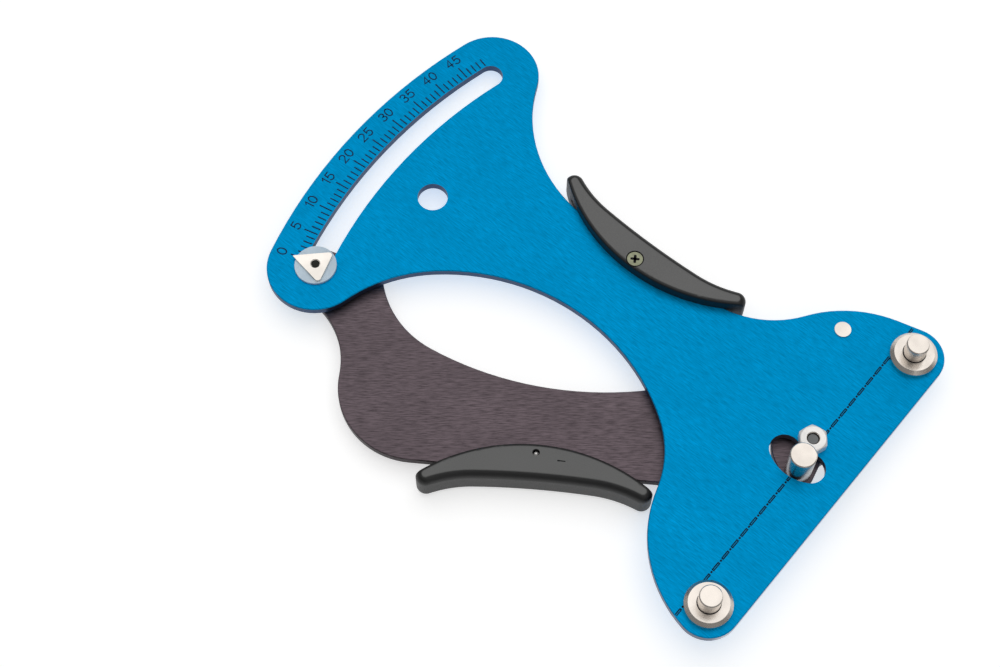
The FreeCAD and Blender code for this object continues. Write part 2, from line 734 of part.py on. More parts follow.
def pivot_nut():
    """A hexagon nut with chamfered corners and a chamfer round its hole."""
    flats = size["nut_across_flats"]
    height = size["nut_height"]
    corner = flats / math.sqrt(3)
    body = new_body("pivot_nut")
    sketch = new_sketch(body, "hexagon")
    draw_polygon(sketch, [polar(corner, size["nut_turn"] + 60.0 * step + 30.0) for step in range(6)])
    draw_circle(sketch, (0.0, 0.0), size["pivot_radius"] + size["fit_clearance"])
    pad(body, sketch, height)
    section = new_sketch(body, "corners", "XZ_Plane")
    turned = size["nut_corner_radius"]
    clear = corner + 1.0
    draw_polygon(section, [(turned, -1.0), (clear, -1.0), (clear, height + 1.0),
                           (flats / 2 - size["nut_chamfer"], height + 1.0),
                           (flats / 2 - size["nut_chamfer"], height),
                           (turned, height - 2 * size["nut_chamfer"])])
    groove = new_feature(body, "Groove", "chamfer", section)
    groove.ReferenceAxis = (section, ["V_Axis"])
    mouth = new_sketch(body, "mouth", "XZ_Plane")
    bore = size["pivot_radius"] + size["fit_clearance"]
    open_width = bore + size["nut_mouth"]
    draw_polygon(mouth, [(0.0, height - size["nut_mouth"]), (bore, height - size["nut_mouth"]),
                         (open_width, height), (0.0, height)])
    countersink = new_feature(body, "Groove", "bore_chamfer", mouth)
    countersink.ReferenceAxis = (mouth, ["V_Axis"])
    document.recompute()
    return body


# ---------------------------------------------------------------- spring and its anchors

def neck_length(room):
    """Neck of an anchor: the wire, its room below the plate and a clearance to the flange."""
    return room + size["wire_diameter"] + size["hook_clearance"]


def anchor_front():
    """A flat-headed rivet in the front plate, with a neck behind it for the spring's hook."""
    neck_low = front_bottom - neck_length(size["hook_plate_room"])
    body = lathe("spring_anchor_front", [
        (0.0, neck_low - size["anchor_flange_height"]),
        (size["anchor_flange_radius"], neck_low - size["anchor_flange_height"]),
        (size["anchor_flange_radius"], neck_low),
        (size["anchor_neck_radius"], neck_low),
        (size["anchor_neck_radius"], front_bottom),
        (size["anchor_shank_radius"], front_bottom),
        (size["anchor_shank_radius"], 0.0),
        (size["anchor_head_radius"], 0.0),
        (size["anchor_head_radius"], size["anchor_head_height"]),
        (0.0, size["anchor_head_height"]),
    ])
    put(body, *anchor_place)
    return body


def anchor_rear():
    """The same kind of rivet in the lever's tail, with its neck behind the lever."""
    neck_low = lever_bottom - neck_length(size["hook_lever_room"])
    head_top = lever_top + size["anchor_head_height"]
    body = lathe("spring_anchor_rear", [
        (0.0, neck_low - size["anchor_flange_height"]),
        (size["anchor_flange_radius"], neck_low - size["anchor_flange_height"]),
        (size["anchor_flange_radius"], neck_low),
        (size["anchor_neck_radius"], neck_low),
        (size["anchor_neck_radius"], lever_bottom),
        (size["anchor_shank_radius"], lever_bottom),
        (size["anchor_shank_radius"], lever_top),
        (size["anchor_head_radius"], lever_top),
        (size["anchor_head_radius"], head_top),
        (0.0, head_top),
    ])
    put(body, *tail_place)
    return body


def hook(anchor, coil_end, height):
    """A straight leg from the coil's end that runs on round the anchor."""
    radius = float(size["anchor_neck_radius"] + size["hook_clearance"] + size["wire_diameter"] / 2)
    span = anchor - coil_end
    facing = 1 if span > 0 else -1
    leg = math.sqrt(span ** 2 - radius ** 2)
    lean = math.asin(radius / abs(span))
    tangent = (coil_end + facing * leg * math.cos(lean), -leg * math.sin(lean))
    start = math.atan2(tangent[1], tangent[0] - anchor)
    wrap = facing * math.radians(285)
    points = [(anchor + radius * math.cos(start + wrap * part), radius * math.sin(start + wrap * part))
              for part in (0.5, 1.0)]
    path = Part.Wire([
        Part.LineSegment(FreeCAD.Vector(coil_end, 0, height),
                         FreeCAD.Vector(*tangent, height)).toShape(),
        Part.Arc(FreeCAD.Vector(*tangent, height), FreeCAD.Vector(*points[0], height),
                 FreeCAD.Vector(*points[1], height)).toShape(),
    ])
    along = FreeCAD.Vector(tangent[0] - coil_end, tangent[1], 0)
    section = Part.Wire(Part.makeCircle(float(size["wire_diameter"]) / 2,
                                        FreeCAD.Vector(coil_end, 0, height), along))
    return path.makePipeShell([section], True, False)


def return_spring():
    """Extension spring: a close-wound coil with a side hook at each end.

    One hook lies behind the front plate and the other behind the lever, which sets the coil's width.
    """
    wire = float(size["wire_diameter"])
    front_hook = float(front_bottom - size["hook_plate_room"]) - wire / 2
    rear_hook = float(lever_bottom - size["hook_lever_room"]) - wire / 2
    coil = (front_hook - rear_hook) / 2
    dx = float(size["tail_x"] - size["anchor_x"])
    dy = float(size["tail_y"] - size["anchor_y"])
    length = math.hypot(dx, dy)
    begin = float(size["coil_start"])
    turns = int((length - float(size["coil_stop"]) - begin) / wire)
    finish = begin + turns * wire
    corners = [(begin, coil - wire / 2)]
    for turn in range(turns):
        low = begin + turn * wire
        corners += [(low, coil + wire / 4), (low + wire / 2, coil + wire / 2)]
    corners += [(finish, coil + wire / 4), (finish, coil - wire / 2)]
    outline = [FreeCAD.Vector(x, 0, z) for x, z in corners]
    section = Part.Face(Part.makePolygon(outline + outline[:1]))
    shape = section.revolve(FreeCAD.Vector(0, 0, 0), FreeCAD.Vector(1, 0, 0), 360)
    front = hook(0.0, begin + wire / 2, coil)
    rear = hook(length, finish - wire / 2, -coil)
    shape = shape.fuse([front, rear]).removeSplitter()
    spring = document.addObject("Part::Feature", "return_spring")
    spring.Label = "return_spring"
    spring.Shape = shape
    axis_height = (front_hook + rear_hook) / 2
    turn_angle = math.degrees(math.atan2(dy, dx))
    spring.Placement = FreeCAD.Placement(
        FreeCAD.Vector(float(size["anchor_x"] + size["hole_to_pivot_out"]),
                       float(size["anchor_y"] + size["hole_to_pivot_across"]), axis_height),
        FreeCAD.Rotation(FreeCAD.Vector(0, 0, 1), turn_angle))
    return spring


# ---------------------------------------------------------------- pointer stack

def pointer_pieces():
    slide = size["face_clearance"]
    flange_top = slide + size["guide_flange"]
    shank = size["pointer_screw_radius"]
    bore = shank + size["fit_clearance"]
    spacer_top = front_bottom - slide
    guide = lathe("pointer_guide", [
        (bore, spacer_top),
        (size["sleeve_radius"], spacer_top),
        (size["sleeve_radius"], slide),
        (size["guide_radius"], slide),
        (size["guide_radius"], flange_top),
        (bore, flange_top),
    ])
    spacer = ring("pointer_spacer", bore, size["guide_radius"], lever_top, spacer_top)
    washer_low = lever_bottom - size["pointer_washer_thickness"]
    washer = ring("pointer_washer", bore, size["pointer_washer_radius"], washer_low, lever_bottom)
    head = size["pointer_head_radius"]
    head_low = washer_low - size["pointer_head_height"]
    rounding = size["pointer_head_height"] / 3
    pointer_top = flange_top + size["pointer_thickness"]
    screw = lathe("pointer_screw", [
        (0.0, head_low),
        (head - 1.5 * rounding, head_low),
        (head - 0.4 * rounding, head_low + 0.4 * rounding),
        (head, head_low + 1.5 * rounding),
        (head, washer_low),
        (shank, washer_low),
        (shank, pointer_top - size["pointer_screw_depth"]),
        (0.0, pointer_top - size["pointer_screw_depth"]),
    ])
    cut_socket(screw, size["pointer_socket_flats"], head_low)
    for piece in (guide, spacer, washer, screw):
        put(piece, *pointer_place)
    return [guide, spacer, washer, screw, pointer(flange_top)]


def pointer(height):
    """The three-cornered pointer, with its tip outwards from the pivot."""
    round_corner = size["pointer_corner_radius"]
    tip_round = size["pointer_tip_radius"]
    back = size["pointer_back"] - round_corner
    side = size["pointer_half_width"] - 1.4 * round_corner
    body = new_body("pointer")
    sketch = new_sketch(body, "outline")
    draw_outline(sketch, [
        Arc(tip_round, centre=(size["pointer_reach"] - tip_round, 0.0), line_after=True),
        Arc(round_corner, centre=(-back, side), line_after=True),
        Arc(round_corner, centre=(-back, -side), line_after=True),
    ])
    draw_circle(sketch, (0.0, 0.0), size["pointer_screw_radius"] + size["fit_clearance"])
    pad(body, sketch, size["pointer_thickness"])
    rotation = FreeCAD.Rotation(FreeCAD.Vector(0, 0, 1), float(size["rest_angle"]))
    put(body, *pointer_place, z=height, rotation=rotation)
    return body


# ---------------------------------------------------------------- handles

def handle(label):
    """A moulded grip: a crescent with rounded edges, a slot for its plate and a screw hole."""
    half = size["handle_thickness"] / 2
    end = size["handle_end_radius"]
    upright = 90.0 - size["handle_turn"]
    inner_radius = size["handle_inner_radius"]
    inner_centre = polar(inner_radius - size["handle_inner_depth"], upright)
    blank_radius = inner_radius + size["handle_trim"]
    ends = []
    for half_length in (size["handle_half_length"], -size["handle_half_length"]):
        end_x = half_length + size["handle_end_shift"]
        reach = float(blank_radius - end)
        drop = math.sqrt(reach ** 2 - float(end_x - inner_centre[0]) ** 2)
        ends.append(Arc(end, centre=(end_x, float(inner_centre[1]) - drop), hold="x"))
    outline = [
        Arc(blank_radius, centre=inner_centre),
        ends[0],
        Arc(size["handle_sweep_radius"], -1, side=1),
        Arc(size["handle_grip_radius"], -1,
            centre=polar(size["handle_grip_depth"] + size["handle_grip_radius"], upright)),
        Arc(size["handle_sweep_radius"], -1, side=1),
        ends[1],
    ]
    body = new_body(label)
    sketch = new_sketch(body, "outline")
    draw_outline(sketch, outline)
    feature = pad(body, sketch, size["handle_thickness"], symmetric=True)
    top = float(half)

    def on_rim(edge):
        return is_level(edge, top) or is_level(edge, -top)

    dress(body, feature, "Fillet", "edge_round", edges_where(feature.Shape, on_rim),
          size["handle_edge_round"])
    trim_plate_side(body, inner_centre, inner_radius)
    slot = new_sketch(body, "slot")
    wide = size["handle_half_length"] + 2 * end
    flat = size["handle_slot_flat"]
    draw_polygon(slot, [(-wide, -wide), (wide, -wide), (wide, size["handle_slot_end_depth"]),
                        (flat, size["handle_slot_depth"]), (-flat, size["handle_slot_depth"]),
                        (-wide, size["handle_slot_end_depth"])])
    pocket = new_feature(body, "Pocket", "plate_slot", slot)
    pocket.setExpression("Length", written(size["plate_thickness"] + size["handle_slot_clearance"]))
    pocket.SideType = "Symmetric"
    document.recompute()
    bore_screw_hole(body, half)
    return body


def trim_plate_side(body, centre, radius):
    """Cut the blank back to its inner curve and round the edges of the cut a little."""
    sketch = new_sketch(body, "inner_curve")
    draw_circle(sketch, centre, radius)
    draw_circle(sketch, centre, radius + 4 * size["handle_trim"])
    pocket = new_feature(body, "Pocket", "plate_side", sketch)
    pocket.setExpression("Length", written(size["handle_thickness"] + 1.0))
    pocket.SideType = "Symmetric"
    document.recompute()
    middle = FreeCAD.Vector(float(centre[0]), float(centre[1]), 0)

    def on_cut(edge):
        places = [edge.valueAt(edge.FirstParameter + part * (edge.LastParameter - edge.FirstParameter))
                  for part in (0.0, 0.5, 1.0)]
        flat = [FreeCAD.Vector(place.x, place.y, 0) for place in places]
        return all(abs(place.distanceToPoint(middle) - float(radius)) < 1e-4 for place in flat)

    dress(body, pocket, "Fillet", "plate_side_round", edges_where(pocket.Shape, on_cut),
          size["handle_plate_round"])


def bore_screw_hole(body, half):
    """Countersink, clearance hole and the open pilot hole at the far face."""
    clear = size["fit_clearance"]
    section = new_sketch(body, "screw_hole", "XZ_Plane")
    head = size["handle_head_radius"] + clear
    head_seat = half - size["handle_head_sink"] - size["handle_head_rim"]
    cone_low = head_seat - (size["handle_head_height"] - size["handle_head_rim"])
    draw_polygon(section, [
        (0.0, -half - 1.0),
        (size["handle_pilot_radius"], -half - 1.0),
        (size["handle_pilot_radius"], -half + size["handle_screw_end"]),
        (size["handle_screw_radius"] + clear, -half + size["handle_screw_end"]),
        (size["handle_screw_radius"] + clear, cone_low),
        (head, head_seat),
        (head, half + 1.0),
        (0.0, half + 1.0),
    ])
    groove = new_feature(body, "Groove", "screw_bore", section)
    groove.ReferenceAxis = (section, ["V_Axis"])
    document.recompute()


def handle_screw(label):
    """Countersunk screw with a cross recess."""
    half = size["handle_thickness"] / 2
    top = half - size["handle_head_sink"]
    rim = top - size["handle_head_rim"]
    cone_low = top - size["handle_head_height"]
    tip = -half + size["handle_screw_end"]
    body = lathe(label, [
        (0.0, tip),
        (size["handle_screw_radius"], tip),
        (size["handle_screw_radius"], cone_low),
        (size["handle_head_radius"], rim),
        (size["handle_head_radius"], top),
        (0.0, top),
    ])
    long_side = size["recess_length"] / 2
    short_side = size["recess_width"] / 2
    cross = new_sketch(body, "recess", lift=top)
    draw_polygon(cross, [
        (long_side, -short_side), (long_side, short_side), (short_side, short_side),
        (short_side, long_side), (-short_side, long_side), (-short_side, short_side),
        (-long_side, short_side), (-long_side, -short_side), (-short_side, -short_side),
        (-short_side, -long_side), (short_side, -long_side), (short_side, -short_side),
    ])
    pocket = new_feature(body, "Pocket", "recess_cut", cross)
    pocket.setExpression("Length", written(size["recess_depth"]))
    document.recompute()
    return body


def front_handle_pieces():
    (x, y), turn = front_handle_frame()
    rotation = FreeCAD.Rotation(FreeCAD.Vector(0, 0, 1), turn)
    pieces = [handle("front_handle"), handle_screw("front_handle_screw")]
    for piece in pieces:
        put(piece, x, y, front_bottom / 2, rotation=rotation)
    return pieces


def rear_handle_pieces():
    """The same moulding and screw, turned over, on the lever's straight edge."""
    (x, y), heading = rear_handle_frame()
    turn = FreeCAD.Rotation(FreeCAD.Vector(0, 0, 1), heading - 180)
    flip = FreeCAD.Rotation(FreeCAD.Vector(0, 1, 0), 180)
    pieces = [handle("rear_handle"), handle_screw("rear_handle_screw")]
    for piece in pieces:
        put(piece, x, y, lever_top - size["plate_thickness"] / 2, rotation=turn.multiply(flip))
    return pieces


# ---------------------------------------------------------------- build, check and write

def check(parts):
    """Stop if any object of the document failed or any part is not one valid solid."""
    document.recompute()
    for item in document.Objects:
        if "Invalid" in item.State or "Error" in item.State:
            raise RuntimeError(f"{item.Label} failed: {item.State}")
    for part in parts:
        if part.Shape.isNull() or not part.Shape.isValid():
            raise RuntimeError(f"{part.Label} has no valid shape")


def build():
    parts = [
        front_plate(),
        lever_plate(),
        fixed_post("fixed_post_upper", upper_post),
        fixed_post("fixed_post_lower", lower_post),
        moving_post_piece(),
        anchor_front(),
        anchor_rear(),
        return_spring(),
    ]
    parts += pivot_pieces()
    parts += pointer_pieces()
    parts += front_handle_pieces()
    parts += rear_handle_pieces()
    check(parts)
    os.makedirs("parts", exist_ok=True)
    for part in parts:
        part.Shape.exportStep(f"parts/{part.Label}.step")
        box = part.Shape.BoundBox
        print(f"{part.Label}: {len(part.Shape.Solids)} solid, {part.Shape.Volume:.1f} mm3, "
              f"z {box.ZMin:.2f} to {box.ZMax:.2f}")


build()
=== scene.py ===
"""Looks of the spoke tension meter: finishes, scale, threads, spring wire, floor, light, camera.

Added pieces are drawn in mm about the pivot axis, with Z = 0 on the front plate's printed face.
piece() moves them to the row frame, in metres.
"""
import bpy
import math
from mathutils import Matrix, Vector


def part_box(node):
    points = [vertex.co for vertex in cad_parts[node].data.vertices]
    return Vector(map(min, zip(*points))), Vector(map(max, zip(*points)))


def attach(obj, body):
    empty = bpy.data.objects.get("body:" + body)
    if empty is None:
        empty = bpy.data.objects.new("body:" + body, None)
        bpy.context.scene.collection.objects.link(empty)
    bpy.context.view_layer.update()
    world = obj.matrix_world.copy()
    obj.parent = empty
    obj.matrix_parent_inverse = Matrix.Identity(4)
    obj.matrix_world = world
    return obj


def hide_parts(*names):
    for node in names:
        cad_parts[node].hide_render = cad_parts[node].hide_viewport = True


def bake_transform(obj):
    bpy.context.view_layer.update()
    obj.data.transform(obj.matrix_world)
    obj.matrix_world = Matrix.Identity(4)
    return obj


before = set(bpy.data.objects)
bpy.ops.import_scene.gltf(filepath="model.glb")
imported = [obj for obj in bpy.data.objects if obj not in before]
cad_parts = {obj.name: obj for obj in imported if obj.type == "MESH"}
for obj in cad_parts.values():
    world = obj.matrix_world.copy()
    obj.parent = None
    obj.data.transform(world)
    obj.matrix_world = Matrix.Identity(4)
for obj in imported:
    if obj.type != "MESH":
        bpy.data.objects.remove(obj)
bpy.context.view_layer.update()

MM = 0.001
PIVOT = Vector((164.0, 10.1, 0.0))  # pivot axis in the row frame, in mm


# ---------------------------------------------------------------- materials

TOOL_MARKS = 0.000012  # depths of bumps, in metres
GRAIN = 0.00002
SHADOW = (0.02, 0.02, 0.018)  # painted shade down in a screw's recess and in the holes that the screws stand in
PAINTED_REFLECTION_SPAN = (0.110, 0.132)  # painted reflection on the cut edge, fading in along X in metres, from the waist to the lower lobe
STRAIGHT_EDGE = (0.1795, 0.1822)  # painted highlight on the cut edge, along X in metres, the long edge beside the posts
STRAIGHT_EDGE_HIGHLIGHT = (0.5, 0.52, 0.58)


def shade(colour, factor):
    return tuple(part * factor for part in colour)


class Nodes:
    """Short forms for building a material's nodes."""

    def __init__(self, name):
        self.material = bpy.data.materials.new(name)
        self.material.use_nodes = True
        self.tree = self.material.node_tree
        self.shader = self.tree.nodes["Principled BSDF"]

    def add(self, kind, **properties):
        node = self.tree.nodes.new(kind)
        for name, value in properties.items():
            setattr(node, name, value)
        return node

    def link(self, source, target):
        self.tree.links.new(source, target)

    def paint(self, **sources):
        """Links sockets to inputs of the shader, by name."""
        for name, source in sources.items():
            self.link(source, self.shader.inputs[name.replace("_", " ")])

    def set(self, **values):
        """Sets inputs of the shader, by name."""
        for name, value in values.items():
            self.shader.inputs[name.replace("_", " ")].default_value = value

    def coordinates(self, scale, turn=0.0):
        """Object coordinates, turned about Z and scaled along the turned axes."""
        place = self.add("ShaderNodeTexCoord")
        move = self.add("ShaderNodeMapping", vector_type="TEXTURE")
        move.inputs["Rotation"].default_value = (0, 0, math.radians(turn))
        grow = self.add("ShaderNodeMapping")
        grow.inputs["Scale"].default_value = scale
        self.link(place.outputs["Object"], move.inputs["Vector"])
        self.link(move.outputs["Vector"], grow.inputs["Vector"])
        return grow.outputs["Vector"]

    def noise(self, scale, detail=2.0, rough=0.5, turn=0.0):
        """Noise with one scale per metre, or with one for each axis."""
        node = self.add("ShaderNodeTexNoise")
        node.inputs["Scale"].default_value = 1.0
        node.inputs["Detail"].default_value = detail
        node.inputs["Roughness"].default_value = rough
        scales = scale if isinstance(scale, tuple) else (scale,) * 3
        self.link(self.coordinates(scales, turn), node.inputs["Vector"])
        return node.outputs["Fac"]

    def ramp(self, factor, *stops):
        node = self.add("ShaderNodeValToRGB")
        for element, (place, colour) in zip(node.color_ramp.elements, stops):
            element.position = place
            element.color = (*colour, 1.0)
        self.link(factor, node.inputs["Fac"])
        return node.outputs["Color"]

    def spread(self, factor, low, high, start=0.3, stop=0.7):
        """Maps a factor from start and stop to low and high."""
        node = self.add("ShaderNodeMapRange")
        ends = {"From Min": start, "From Max": stop, "To Min": low, "To Max": high}
        for name, value in ends.items():
            node.inputs[name].default_value = value
        self.link(factor, node.inputs["Value"])
        return node.outputs["Result"]

    def mix(self, factor, first, second):
        """The first colour where the factor is 0, the second where it is 1."""
        node = self.add("ShaderNodeMix", data_type="RGBA")
        self.link(factor, node.inputs["Factor"])
        for socket, value in ((node.inputs["A"], first), (node.inputs["B"], second)):
            if isinstance(value, tuple):
                socket.default_value = (*value, 1.0)
            else:
                self.link(value, socket)
        return node.outputs["Result"]

    def axis(self, vector, letter):
        """One axis of the Object or Normal coordinates."""
        place = self.add("ShaderNodeTexCoord")
        split = self.add("ShaderNodeSeparateXYZ")
        self.link(place.outputs[vector], split.inputs["Vector"])
        return split.outputs[letter]

    def flat(self, start, stop):
        """0 on the sides and 1 on faces that look up or down."""
        size = self.add("ShaderNodeMath", operation="ABSOLUTE")
        self.link(self.axis("Normal", "Z"), size.inputs[0])
        return self.spread(size.outputs["Value"], 0.0, 1.0, start, stop)

    def along(self, letter, start, stop):
        """0 before one place along an axis and 1 after another, in metres."""
        return self.spread(self.axis("Object", letter), 0.0, 1.0, start, stop)

    def above(self, start, stop):
        """0 below one height and 1 above another, in mm."""
        return self.along("Z", start * MM, stop * MM)

    def mottled(self, scale, detail, colour, darkest):
        """A colour that sinks here and there to a darker one."""
        tone = self.noise(scale, detail)
        return self.ramp(tone, (0.35, shade(colour, darkest)), (0.65, colour))

    def bump(self, height, distance, strength):
        node = self.add("ShaderNodeBump")
        node.inputs["Distance"].default_value = distance
        node.inputs["Strength"].default_value = strength
        self.link(height, node.inputs["Height"])
        self.paint(Normal=node.outputs["Normal"])


def brushed(name, face, side, turn, metallic, rough, contrast, specular=0.5, pale=None):
    """Brushed sheet: streaks along one direction, and a plainer cut edge, painted darker than the
    face as painted shade.

    Where pale is given, the cut edge is painted that colour at the end with the posts, as a
    painted reflection, and is painted brightest along the straight edge, as a painted highlight.
    """
    nodes = Nodes(name)
    if pale:
        # painted reflection at the end with the posts, and a painted highlight along the straight
        # edge
        side = nodes.mix(nodes.along("X", *PAINTED_REFLECTION_SPAN), side, pale)
        side = nodes.mix(nodes.along("X", *STRAIGHT_EDGE), side, STRAIGHT_EDGE_HIGHLIGHT)
    streaks = nodes.noise((230, 2300, 400), detail=4.0, rough=0.65, turn=turn)
    clouds = nodes.noise((28, 60, 30), turn=turn)
    dark = shade(face, 1 - contrast)
    streaked = nodes.ramp(streaks, (0.3, dark), (0.7, shade(face, 1 + contrast)))
    cloudy = nodes.mix(nodes.spread(clouds, 0.0, 0.25), streaked, dark)
    # the sides take the darker edge colour, painted shade, and the faces the streaked colour
    flat = nodes.flat(0.3, 0.65)
    nodes.paint(Base_Color=nodes.mix(flat, side, cloudy),
                Metallic=nodes.spread(flat, 1.0, metallic, 0.0, 1.0),
                Roughness=nodes.spread(streaks, rough - 0.07, rough + 0.07))
    nodes.bump(streaks, GRAIN, 0.35)
    nodes.set(Specular_IOR_Level=specular)
    return nodes.material


def plated(name, colour, rough, metallic=1.0, scale=900.0):
    """Plated steel with faint tool marks and a little uneven tone."""
    nodes = Nodes(name)
    marks = nodes.noise((scale, scale, scale * 6), detail=3.0)
    nodes.paint(Base_Color=nodes.mottled(140, 1.0, colour, 0.86),
                Roughness=nodes.spread(marks, rough - 0.03, rough + 0.03))
    nodes.bump(marks, TOOL_MARKS, 0.17)
    nodes.set(Metallic=metallic)
    return nodes.material


def post_metal(name, foot, head):
    """Turned and plated post: fine rings, and painted shade on its side that deepens towards its
    foot, in mm.

    Below the foot, where a fixed post has its collar, the metal is plain again.
    """
    nodes = Nodes(name)
    marks = nodes.noise((500, 500, 5200), detail=3.0)
    plain = nodes.mottled(140, 1.0, NICKEL_COLOUR, 0.86)
    # painted shade: the side darkens from the head down to the foot
    shaded = nodes.mix(nodes.above(foot, head), shade(NICKEL_COLOUR, 0.38), plain)
    above_foot = nodes.mix(nodes.above(foot - 0.12, foot - 0.02), plain, shaded)
    nodes.paint(Base_Color=nodes.mix(nodes.flat(0.2, 0.5), above_foot, plain),
                Roughness=nodes.spread(marks, NICKEL_ROUGH - 0.04, NICKEL_ROUGH + 0.04))
    nodes.bump(marks, TOOL_MARKS, 0.1)
    nodes.set(Metallic=1.0)
    return nodes.material


def screw_metal(name, colour, rough, deep, unshaded):
    """Plated screw that goes from painted shade at one height to plain metal at another."""
    nodes = Nodes(name)
    marks = nodes.noise(900, detail=3.0)
    plain = nodes.mottled(500, 2.0, colour, 0.8)
    if deep < unshaded:
        metal = nodes.mix(nodes.above(deep, unshaded), SHADOW, plain)
    else:
        metal = nodes.mix(nodes.above(unshaded, deep), plain, SHADOW)
    nodes.paint(Base_Color=metal,
                Roughness=nodes.spread(marks, rough - 0.05, rough + 0.05))
    nodes.bump(marks, TOOL_MARKS, 0.3)
    nodes.set(Metallic=1.0)
    return nodes.material


def grip(name, colour, face):
    """Black moulding: its upward faces are painted paler, a painted sheen, broken by a fine grain
    and random patches.
    """
    nodes = Nodes(name)
    grain = nodes.noise(2600, rough=0.65)
    tone = nodes.noise(60)
    pale = shade(face, 1.25)
    grainy_sheen = nodes.mix(nodes.spread(grain, 0.0, 1.0, 0.35, 0.65), face, pale)
    patchy_sheen = nodes.mix(nodes.spread(tone, 0.0, 0.5), grainy_sheen, pale)
    # painted sheen on the faces that look up
    upward = nodes.spread(nodes.axis("Normal", "Z"), 0.0, 1.0, 0.955, 0.99)
    nodes.paint(Base_Color=nodes.mix(upward, colour, patchy_sheen),
                Roughness=nodes.spread(grain, 0.40, 0.54))
    nodes.bump(grain, GRAIN, 0.5)
    return nodes.material


def cloudy_plastic(name, colour, pale, rough):
    """Moulded plastic that lets a little light in, with a fine spark-eroded grain."""
    nodes = Nodes(name)
    grain = nodes.noise(1500, rough=0.65)
    nodes.paint(Base_Color=nodes.ramp(nodes.noise(60), (0.3, colour), (0.75, pale)),
                Roughness=nodes.spread(grain, rough - 0.06, rough + 0.08))
    nodes.bump(grain, GRAIN / 2, 0.5)
    nodes.set(Subsurface_Weight=0.25, Subsurface_Radius=(0.001, 0.001, 0.001))
    return nodes.material


def inked(name, colour):
    """Dark fill of a mark, or painted shade in a recess, a gap or a corner, with paler specks."""
    nodes = Nodes(name)
    pale = tuple(part * 2.2 + 0.004 for part in colour)
    patches = nodes.noise(900, detail=3.0)
    nodes.paint(Base_Color=nodes.ramp(patches, (0.45, colour), (0.8, pale)))
    nodes.set(Roughness=0.6, Specular_IOR_Level=0.12)
    return nodes.material


NICKEL_COLOUR = (0.74, 0.68, 0.62)
NICKEL_ROUGH = 0.24
YELLOW_COLOUR = (0.27, 0.28, 0.19)

# both sheets' cut edges are painted darker than their faces, as painted shade
BLUE = brushed("blue_anodised", face=(0.0, 0.302, 0.63), side=(0.035, 0.065, 0.135), turn=0.0,
               metallic=0.5, rough=0.42, contrast=0.32, specular=0.0, pale=(0.15, 0.165, 0.22))
LEVER = brushed("dark_brushed", face=(0.119, 0.092, 0.104), side=(0.025, 0.017, 0.021),
                turn=40.0, metallic=0.85, rough=0.44, contrast=0.62)
NICKEL = plated("bright_nickel", NICKEL_COLOUR, NICKEL_ROUGH)
FIXED_POST = post_metal("fixed_post_nickel", foot=3.22, head=5.8)
MOVING_POST = post_metal("moving_post_nickel", foot=-4.7, head=9.5)
ZINC = plated("zinc_plate", (0.62, 0.62, 0.63), 0.35)
BRIGHT = plated("bright_nut", (0.98, 0.96, 0.93), 0.34, metallic=0.35)
POINTER = plated("pointer_nickel", (0.84, 0.79, 0.73), 0.32)
# each screw is painted with shade past its deep height: the front screw's cross recess, the rear
# screw's shank in its hole, and the ends of the pivot and pointer screws
YELLOW_FRONT = screw_metal("yellow_zinc_front", YELLOW_COLOUR, 0.34, deep=4.35, unshaded=4.6)
YELLOW_REAR = screw_metal("yellow_zinc_rear", YELLOW_COLOUR, 0.34, deep=-12.3, unshaded=-12.55)
DULL = screw_metal("zinc_screw", (0.6, 0.6, 0.61), 0.36, deep=0.0, unshaded=-2.0)
GREY = plated("grey_end", (0.14, 0.145, 0.145), 0.42)
WIRE = plated("spring_wire", (0.52, 0.52, 0.54), 0.28, scale=500.0)
BRONZE = plated("bronze", (0.6, 0.4, 0.2), 0.35)
NYLON = cloudy_plastic("nylon", (0.54, 0.66, 0.76), (0.731, 0.893, 1.028), 0.38)
# face colours: the painted sheen of each handle's upward faces
BLACK_FRONT = grip("black_grip_front", (0.006, 0.006, 0.006), face=(0.115, 0.115, 0.113))
BLACK_REAR = grip("black_grip_rear", (0.004, 0.004, 0.004), face=(0.106, 0.107, 0.105))
INK = inked("navy_ink", (0.004, 0.022, 0.07))
DEEP_INK = inked("deep_navy_ink", (0.001, 0.008, 0.026))
# painted shade: the rings at the pins' roots and round the front screw's head, and the cross in
# its recess; also the mould mark on the rear handle
DARK = inked("painted_shade_and_mark", (0.004, 0.004, 0.005))

FINISHES = {
    "front_plate": BLUE,
    "lever_plate": LEVER,
    "fixed_post_upper": FIXED_POST,
    "fixed_post_lower": FIXED_POST,
    "moving_post": MOVING_POST,
    "pivot_nut": BRIGHT,
    "pointer": POINTER,
    "spring_anchor_front": NICKEL,
    "spring_anchor_rear": NICKEL,
    "pivot_screw": DULL,
    "pivot_washer": ZINC,
    "pointer_screw": DULL,
    "pointer_washer": ZINC,
    "front_handle_screw": YELLOW_FRONT,
    "rear_handle_screw": YELLOW_REAR,
    "return_spring": WIRE,
    "pivot_bushing": BRONZE,
    "pivot_spacer": NYLON,
    "pointer_guide": NYLON,
    "pointer_spacer": NYLON,
    "front_handle": BLACK_FRONT,
    "rear_handle": BLACK_REAR,
}
for node, material in FINISHES.items():
    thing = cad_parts[node]
    if not thing.material_slots:
        thing.data.materials.append(material)
    for slot in thing.material_slots:
        slot.material = material


# ---------------------------------------------------------------- making pieces

def show(thing):
    bpy.context.scene.collection.objects.link(thing)


def piece(name, points, faces, material, body=None, smooth=False):
    """A mesh from points in mm of the pivot's frame."""
    mesh = bpy.data.meshes.new(name)
    mesh.from_pydata([(Vector(point) + PIVOT) * MM for point in points], [], faces)
    mesh.validate()
    mesh.materials.append(material)
    if smooth:
        mesh.shade_smooth()
    thing = bpy.data.objects.new(name, mesh)
    show(thing)
    if body:
        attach(thing, body)
    return thing


